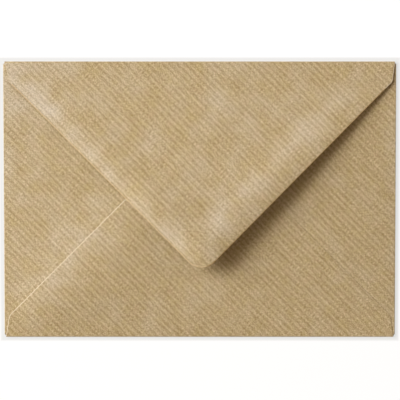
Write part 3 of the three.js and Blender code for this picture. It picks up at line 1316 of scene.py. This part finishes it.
@dataclass
class FoldedCrease:
    """The half-round fold between the front panel and a flap, spun from the front panel's edge."""

    name: str
    edge: Edge
    radius: float
    half_along: float
    reach: float
    sweep: float = math.pi
    rise: Callable[[float], float] = lambda along: 0.0
    step_along: float = 1.0
    steps_round: int = 14
    dent: float = 0.012  # how deep the fold is dented here and there
    dent_size: float = 2.5
    dent_row: float = 7.0  # where in the noise the dents are taken

    @property
    def root(self) -> float:
        """Place towards the edge where the fold begins."""
        return self.reach - self.radius

    @property
    def axis(self) -> Vector:
        """A point on the line that the paper is folded round."""
        return Vector((0, self.root, self.radius))

    def build(self, face: Material, rim: Material) -> Piece:
        """Makes the crease.

        Args:
            face: Material of the folded paper.
            rim: Material of its ends.

        Returns:
            The finished piece, still in millimetres.
        """
        crease = self.add_edge_line()
        crease.data.materials.append(face)
        crease.data.materials.append(rim)
        bpy.ops.mesh.select_all(action="SELECT")
        bpy.ops.mesh.spin(
            steps=self.steps_round,
            angle=self.sweep,
            center=(0, self.root, self.radius),
            axis=(-1, 0, 0),
        )
        bpy.ops.mesh.select_all(action="SELECT")
        bpy.ops.mesh.remove_doubles(threshold=WELD)
        bpy.ops.object.mode_set(mode="OBJECT")
        self.face_outwards(crease)
        self.map_and_wear(crease)
        thicken(crease, FORM.paper)
        crease.data.transform(Matrix.Rotation(math.radians(self.edge.value), 4, "Z"))
        return crease

    def add_edge_line(self) -> Piece:
        """Adds the line of edges where the front panel ends.

        Returns:
            The new piece, in edit mode.
        """
        length = 2 * self.half_along
        counts = (round(length / self.step_along), 1)
        # A strip 1 mm wide, of which only the side further in, at the root, is kept.
        crease = start_grid(self.name, counts, (length, 1), location=(0, self.root + 0.5, 0))
        bpy.ops.mesh.select_mode(type="VERT")
        bpy.ops.mesh.select_all(action="DESELECT")
        shell = bmesh.from_edit_mesh(crease.data)
        for vertex in shell.verts:
            vertex.select_set(vertex.co.y > self.root + 0.25)
        bmesh.update_edit_mesh(crease.data)
        bpy.ops.mesh.delete(type="VERT")
        return crease

    def angle(self, point: Vector) -> float:
        """Angle round the fold, from 0 at the front panel."""
        return math.atan2(point.y - self.root, self.radius - point.z)

    def face_outwards(self, crease: Piece) -> None:
        """Turns the faces so that they point away from the fold's axis.

        Args:
            crease: The fold, as one layer of faces.
        """
        shell = bmesh.new()
        shell.from_mesh(crease.data)
        for face in shell.faces:
            outward = face.calc_center_median() - self.axis
            if face.normal.yz.dot(outward.yz) < 0:
                face.normal_flip()
        shell.to_mesh(crease.data)
        shell.free()

    def map_and_wear(self, crease: Piece) -> None:
        """Maps the fold to the blank and dents it a little along its length.

        Args:
            crease: The fold, as one layer of faces.
        """
        mesh = crease.data
        turn = Matrix.Rotation(math.radians(self.edge.value), 2)
        layer = mesh.uv_layers.new(name=BLANK_MAP)
        shares = [max(0.0, self.angle(vertex.co) / self.sweep) for vertex in mesh.vertices]
        for loop in mesh.loops:
            vertex = mesh.vertices[loop.vertex_index]
            out = self.reach + self.radius * (2 * shares[loop.vertex_index] - 1)
            layer.uv[loop.index].vector = turn @ Vector((vertex.co.x, out)) * MM
        for vertex, share in zip(mesh.vertices, shares):
            spoke = Vector((0, vertex.co.y, vertex.co.z)) - self.axis
            fade = math.sin(math.pi * min(1.0, share))
            wave = noise.noise(Vector((vertex.co.x / self.dent_size, self.dent_row, 0)))
            vertex.co -= spoke.normalized() * self.dent * (0.5 + 0.5 * wave) * fade
            vertex.co.z += self.rise(vertex.co.x) * smoothstep(share, 0, 1)
        mesh.update()


@dataclass
class Pocket:
    """The glued pocket: the front panel, the side and bottom flaps, their creases and the seams."""

    form: FoldedForm
    finishes: Finishes
    front_corner: float = 0.4
    bottom_strip: float = 0.3
    bottom_sharp: float = 10.0  # keeps the bottom flap's crushed edge crisp along the seam
    glue_cell: tuple[float, float] = (0.75, 2.0)

    def front_panel(self) -> Piece:
        """Builds the address side, flat on the table, its ribs crossing those of the back.

        Returns:
            The piece, still in millimetres.
        """
        form, radius = self.form, self.front_corner
        side = form.half_length - form.crease_radius(form.side_level)
        top = form.hinge.y
        foot = -form.half_height + form.crease_radius(form.bottom_level)
        corners = ((side, top), (-side, top), (-side, foot), (side, foot))
        sheet = PaperSheet(
            "front_panel_paper",
            [(*corner, radius) for corner in corners],
            height=lambda x, y: form.paper + PaperSheet.relief / 2,
            blank=lambda x, y: (x, y),
            run=RibRun.RISING,
            folds=frozenset(range(4)),
            trim=0.0,
        )
        return sheet.build(self.finishes.kraft, self.finishes.cut)

    def side_flap(self, hand: Hand) -> Piece:
        """Builds a side flap, folded in under the bottom flap.

        Args:
            hand: Which of the two.

        Returns:
            The piece, still in millimetres.
        """
        form = self.form
        level = form.side_level + form.paper
        sheet = PaperSheet(
            f"{hand.word}_side_flap_paper",
            form.side_flap_corners(hand),
            height=lambda x, y: level + form.back_at(x, y),
            blank=lambda x, y: (-hand.value * form.length - x, y),
            painted_sheen=form.back_sheen,
        )
        return sheet.build(self.finishes.kraft, self.finishes.cut)

    def bottom_rim(self, x: float, y: float) -> Rim:
        """Pale on the left, where the seam shows it; the face's colour on the right, as painted
        shade.
        """
        return Rim.FRESH if x < self.form.bottom.apex(self.form.half_length)[0] else Rim.FACE

    def bottom_flap(self) -> Piece:
        """Builds the pointed flap that is glued over the side flaps.

        Returns:
            The piece, still in millimetres.
        """
        form = self.form
        level = form.bottom_level + form.paper
        root = form.crease_radius(form.bottom_level)
        sheet = PaperSheet(
            "bottom_flap_paper",
            form.pointed_corners(form.bottom, root, Edge.BOTTOM),
            height=lambda x, y: level + form.back_at(x, y),
            blank=lambda x, y: (x, -form.height - y),
            trim=self.bottom_strip,
            painted_sheen=form.back_sheen,
            rim=self.bottom_rim,
        )
        return sheet.build(self.finishes.kraft, self.finishes.cut)

    def seam(self, hand: Hand) -> Piece:
        """Builds a line of glue under the bottom flap's edge.

        Args:
            hand: Which of the two.

        Returns:
            The piece, still in millimetres.
        """
        form = self.form
        level = form.glue_level + form.glue_film
        sheet = PaperSheet(
            f"{hand.word}_seam_glue_line",
            form.seam_corners(hand),
            height=lambda x, y: level + form.back_at(x, y),
            blank=lambda x, y: (x, -form.height - y),
            thickness=form.glue_film,
            folds=frozenset(),
            trim=0.0,
            cell=self.glue_cell,
            relief=0.0,
        )
        return sheet.build(self.finishes.glue, self.finishes.glue)

    def crease(self, edge: Edge) -> Piece:
        """Builds one of the pocket's three folds.

        Args:
            edge: The left, right or bottom side.

        Returns:
            The piece, still in millimetres.
        """
        form = self.form
        if edge is Edge.BOTTOM:
            level, reach = form.bottom_level, form.half_height
            half_along = form.half_length - form.bottom.foot_inset
        else:
            level, reach = form.side_level, form.half_length
            half_along = form.half_height - form.side_foot_gap
        radius = form.crease_radius(level)
        root = reach - radius

        def rise(along: float) -> float:
            """How far the panel's root stands above the round fold."""
            return form.back_at(*((along, root) if edge is Edge.BOTTOM else (root, along)))

        name = f"{edge.name.lower()}_crease_fold"
        fold = FoldedCrease(name, edge, radius, half_along, reach, rise=rise)
        return fold.build(self.finishes.crease, self.finishes.cut)

    def assemble(self) -> None:
        """Builds the pocket's pieces and ties them to the frame."""
        for hand in Hand:
            settle(self.side_flap(hand), Body.POCKET, f"{hand.word}_side_flap")
            settle(self.seam(hand), Body.POCKET, f"{hand.word}_seam_glue")
        settle(self.front_panel(), Body.POCKET, "front_panel")
        bottom_flap = self.bottom_flap()
        settle(bottom_flap, Body.POCKET, "bottom_flap", self.bottom_sharp)
        for edge in (Edge.LEFT, Edge.RIGHT, Edge.BOTTOM):
            node = f"{edge.name.lower()}_crease"
            settle(self.crease(edge), Body.POCKET, node)


@dataclass
class SealFlap:
    """The gummed seal flap, standing a little open on the spring of its crease."""

    form: FoldedForm
    finishes: Finishes
    strip: float = 0.26
    lip: float = 0.03
    corner_run: float = 2.0  # how far a rim's look runs on past a shoulder or the tip
    gum_overshoot: float = 1.0  # how far the gum's cutout runs out past its ends
    bend_margin: float = 0.01  # a margin under the flap's root, in millimetres

    @property
    def lift(self) -> Matrix:
        """Turn about the hinge from the shut flap to the one at rest."""
        to_hinge = Matrix.Translation(self.form.hinge)
        return to_hinge @ Matrix.Rotation(-self.form.rest_lift, 4, "X") @ to_hinge.inverted()

    def blank(self, x: float, y: float) -> tuple[float, float]:
        """Place of a point of the flap on the flat sheet."""
        return x, self.form.height - y

    def rim(self, x: float, y: float) -> Rim:
        """Looks of the cut edge, with painted shade on the edge facing away from the lamps.

        Args:
            x: Place along the long side.
            y: Place towards the top fold.

        Returns:
            Fresh on the short slanted sides, worn on the left edge, painted shade on the right one.
        """
        form = self.form
        if y > form.half_height - form.seal.left.depth - self.corner_run:
            return Rim.FRESH
        past_tip = x > form.seal.apex(form.half_length)[0] + self.corner_run
        return Rim.THUMBED if past_tip else Rim.WORN

    def panel(self) -> Piece:
        """Builds the pointed panel, arched over the back with its cut edges curled down.

        Returns:
            The piece, still in millimetres.
        """
        form, finishes = self.form, self.finishes
        level = form.seal_level + form.paper
        root = form.crease_radius(form.seal_level) + form.fold_gap
        sheet = PaperSheet(
            "seal_flap_paper",
            form.pointed_corners(form.seal, root, Edge.TOP),
            height=lambda x, y: level + form.seal_at(x, y),
            blank=self.blank,
            trim=self.strip,
            lip=self.lip,
            painted_sheen=form.flap_sheen,
            rim=self.rim,
        )
        piece = sheet.build(finishes.kraft, finishes.cut, finishes.worn, finishes.thumbed)
        piece.data.transform(self.lift)
        return piece

    def gum(self) -> Piece:
        """Builds the gum band on the flap's underside, a V inside its two edges.

        Returns:
            The piece, still in millimetres.
        """
        form = self.form
        level = form.seal_level - form.film_clearance
        inner = form.gum_margin + form.gum_width
        sheet = PaperSheet(
            "seal_gum_film",
            form.gum_corners(form.gum_margin, form.seal.tip_radius - form.gum_margin),
            height=lambda x, y: level + form.seal_at(x, y),
            blank=self.blank,
            thickness=form.gum_film,
            folds=frozenset(),
            trim=0.0,
            cutout=form.gum_corners(inner, 0.0, self.gum_overshoot),
        )
        piece = sheet.build(self.finishes.gum, self.finishes.gum)
        piece.data.transform(self.lift)
        return piece

    def crease(self) -> Piece:
        """Builds the top fold.

        Returns:
            The piece, still in millimetres.
        """
        form = self.form
        fold = FoldedCrease(
            "top_crease_fold",
            Edge.TOP,
            form.crease_radius(form.seal_level),
            form.half_length - form.seal.foot_inset,
            form.half_height,
            sweep=math.pi - form.rest_lift,
            rise=lambda along: form.back_at(along, form.hinge.y),
        )
        return fold.build(self.finishes.crease, self.finishes.cut)

    def assemble(self) -> None:
        """Builds the flap's pieces, tying the panel and the gum to the frame."""
        settle(self.panel(), Body.FLAP, "seal_flap")
        settle(self.gum(), Body.FLAP, "seal_gum")
        crease = self.crease()
        finish_mesh(crease)
        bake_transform(crease)
        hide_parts("top_crease")
        log.info("%s: %d vertices", crease.name, len(crease.data.vertices))


@dataclass(frozen=True)
class WhiteLaminate:
    """White melamine laminate of the table: matt, seen as plain white, keeping the shadow.

    It glows by itself where it is seen. A weaker diffuse part on top takes the shadow, and the
    glow is painted a little grey close to where the envelope rests, as painted contact shade.
    """

    name: str = "white_laminate"
    lighting: str = "#f0f0f0"  # what it throws back on the envelope
    shadowed: str = "#848484"
    glow: float = 0.8
    contact_shade_grey: str = "#e6e7e6"
    contact_width: float = 1.6
    contact_fade: float = 0.4

    def contact_shade(self, tree: Tree) -> Socket:
        """Adds the glow's colour.

        Args:
            tree: The node tree.

        Returns:
            White, and grey painted contact shade up to its width outside the envelope.
        """
        place = add_node(tree, "TexCoord", output="Object")
        axes = add_node(tree, "SeparateXYZ", {0: place}).node.outputs
        outside = []
        for axis, half in ((axes["X"], FORM.half_length), (axes["Y"], FORM.half_height)):
            distance = add_node(tree, "Math", {0: axis}, operation="ABSOLUTE")
            past = {0: distance, 1: half * MM}
            outside.append(add_node(tree, "Math", past, operation="SUBTRACT"))
        nearest = add_node(tree, "Math", dict(enumerate(outside)), operation="MAXIMUM")
        low, high = self.contact_width - self.contact_fade, self.contact_width + self.contact_fade
        ramp = {"Value": nearest, "From Min": low * MM, "From Max": high * MM}
        share = add_node(tree, "MapRange", ramp)
        shades = {0: share, 6: linear(self.contact_shade_grey), 7: linear("#ffffff")}
        return add_node(tree, "Mix", shades, 2, data_type="RGBA")

    def material(self) -> Material:
        """Makes the material.

        Returns:
            The new material.
        """
        material = empty_material(self.name)
        tree = material.node_tree
        seen = directly_seen(tree)
        lighting, shadowed = (
            add_node(tree, "BsdfDiffuse", {"Color": linear(colour), "Roughness": 0.0})
            for colour in (self.lighting, self.shadowed)
        )
        sockets = {"Color": self.contact_shade(tree), "Strength": self.glow}
        glow = add_node(tree, "Emission", sockets)
        white = add_node(tree, "AddShader", {0: glow, 1: shadowed})
        shown = add_node(tree, "MixShader", {0: seen, 1: lighting, 2: white})
        add_node(tree, "OutputMaterial", {"Surface": shown})
        return material


@dataclass(frozen=True)
class Softbox:
    """A soft white lamp that faces the envelope, with its place in degrees and metres."""

    name: str
    azimuth: float
    elevation: float
    distance: float
    width: float
    height: float
    watts: float

    def place(self) -> None:
        """Adds the lamp to the scene, aimed at the origin."""
        data = bpy.data.lights.new(self.name, "AREA")
        data.shape = "RECTANGLE"
        data.size, data.size_y = self.width, self.height
        data.energy = self.watts
        lamp = bpy.data.objects.new(self.name, data)
        around, up = math.radians(self.azimuth), math.radians(self.elevation)
        level = math.cos(up)
        stand = Vector((math.cos(around) * level, math.sin(around) * level, math.sin(up)))
        lamp.location = stand * self.distance
        lamp.rotation_mode = "QUATERNION"
        lamp.rotation_quaternion = (-stand).to_track_quat("-Z", "Y")
        bpy.context.collection.objects.link(lamp)


@dataclass(frozen=True)
class Studio:
    """Pale table, soft lamps and the camera over the envelope."""

    softboxes: tuple[Softbox, ...] = (
        Softbox("key_softbox", 161.0, 28.0, 2.2, 1.47, 1.1, 57.8),
        Softbox("high_softbox", 148.0, 45.0, 1.5, 0.8, 0.6, 6.0),
    )
    ambient: float = 0.28
    ambient_tint: str = "#ffe4c6"
    table_size: float = 4.0  # metres
    table_clearance: float = 0.05  # millimetres below the envelope
    table_reach: float = 59.0  # millimetres, just behind the top fold, so an open flap hangs free
    floor_drop: float = 25.0  # millimetres
    camera_distance: float = 0.6
    camera_tilt: float = math.radians(2.47)
    frame_width: float = 0.1656
    centre: tuple[float, float] = (0.00013, -0.00015)
    sensor: float = 36.0

    def floor(self) -> None:
        """A white table, stepping down behind the fold, that keeps the envelope's shadow."""
        half = self.table_size / 2
        select_nothing()
        bpy.ops.mesh.primitive_plane_add(
            size=self.table_size, location=(0, 0, -self.table_clearance * MM)
        )
        table = bpy.context.object
        table.name = "table"
        bpy.ops.object.mode_set(mode="EDIT")
        bpy.ops.mesh.select_mode(type="EDGE")
        bpy.ops.mesh.select_all(action="DESELECT")
        bpy.ops.object.mode_set(mode="OBJECT")
        for edge in table.data.edges:
            edge.select = all(table.data.vertices[i].co.y > half / 2 for i in edge.vertices)
        bpy.ops.object.mode_set(mode="EDIT")
        bpy.ops.transform.translate(value=(0, self.table_reach * MM - half, 0))
        for step in ((0, 0, -self.floor_drop * MM), (0, half, 0)):
            bpy.ops.mesh.extrude_region_move(TRANSFORM_OT_translate={"value": step})
        bpy.ops.object.mode_set(mode="OBJECT")
        table.data.materials.append(WhiteLaminate().material())

    def sky(self) -> None:
        """Even light from all round, seen as plain white."""
        world = bpy.data.worlds.new("studio_air")
        bpy.context.scene.world = world
        world.use_nodes = True
        tree = world.node_tree
        tree.nodes.clear()
        seen = directly_seen(tree)
        strength = {0: seen, 1: 1.0 - self.ambient, 2: self.ambient}
        tint = {0: seen, 6: linear(self.ambient_tint), 7: linear("#ffffff")}
        sockets = {
            "Color": add_node(tree, "Mix", tint, 2, data_type="RGBA"),
            "Strength": add_node(tree, "Math", strength, operation="MULTIPLY_ADD"),
        }
        add_node(tree, "OutputWorld", {"Surface": add_node(tree, "Background", sockets)})

    def camera(self) -> None:
        """The photograph's camera: almost straight above, leaning a little from the top fold."""
        data = bpy.data.cameras.new("camera")
        data.sensor_width = self.sensor
        data.lens = self.sensor * self.camera_distance / self.frame_width
        camera = bpy.data.objects.new("camera", data)
        aim = Vector((*self.centre, 0))
        back = Vector((0, math.sin(self.camera_tilt), math.cos(self.camera_tilt)))
        camera.location = aim + back * self.camera_distance
        camera.rotation_euler = (-self.camera_tilt, 0, 0)
        bpy.context.collection.objects.link(camera)
        bpy.context.scene.camera = camera

    def set_up(self) -> None:
        """Places the table, the lamps and the camera."""
        self.floor()
        self.sky()
        for softbox in self.softboxes:
            softbox.place()
        self.camera()
        bpy.context.scene.view_settings.view_transform = "Standard"


def main() -> None:
    """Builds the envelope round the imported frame."""
    logging.basicConfig(level=logging.INFO, format="%(name)s: %(message)s")
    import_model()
    select_nothing()
    Studio().set_up()
    finishes = Finishes.made()
    Pocket(FORM, finishes).assemble()
    SealFlap(FORM, finishes).assemble()
    select_nothing()


if __name__ == "__main__":
    main()
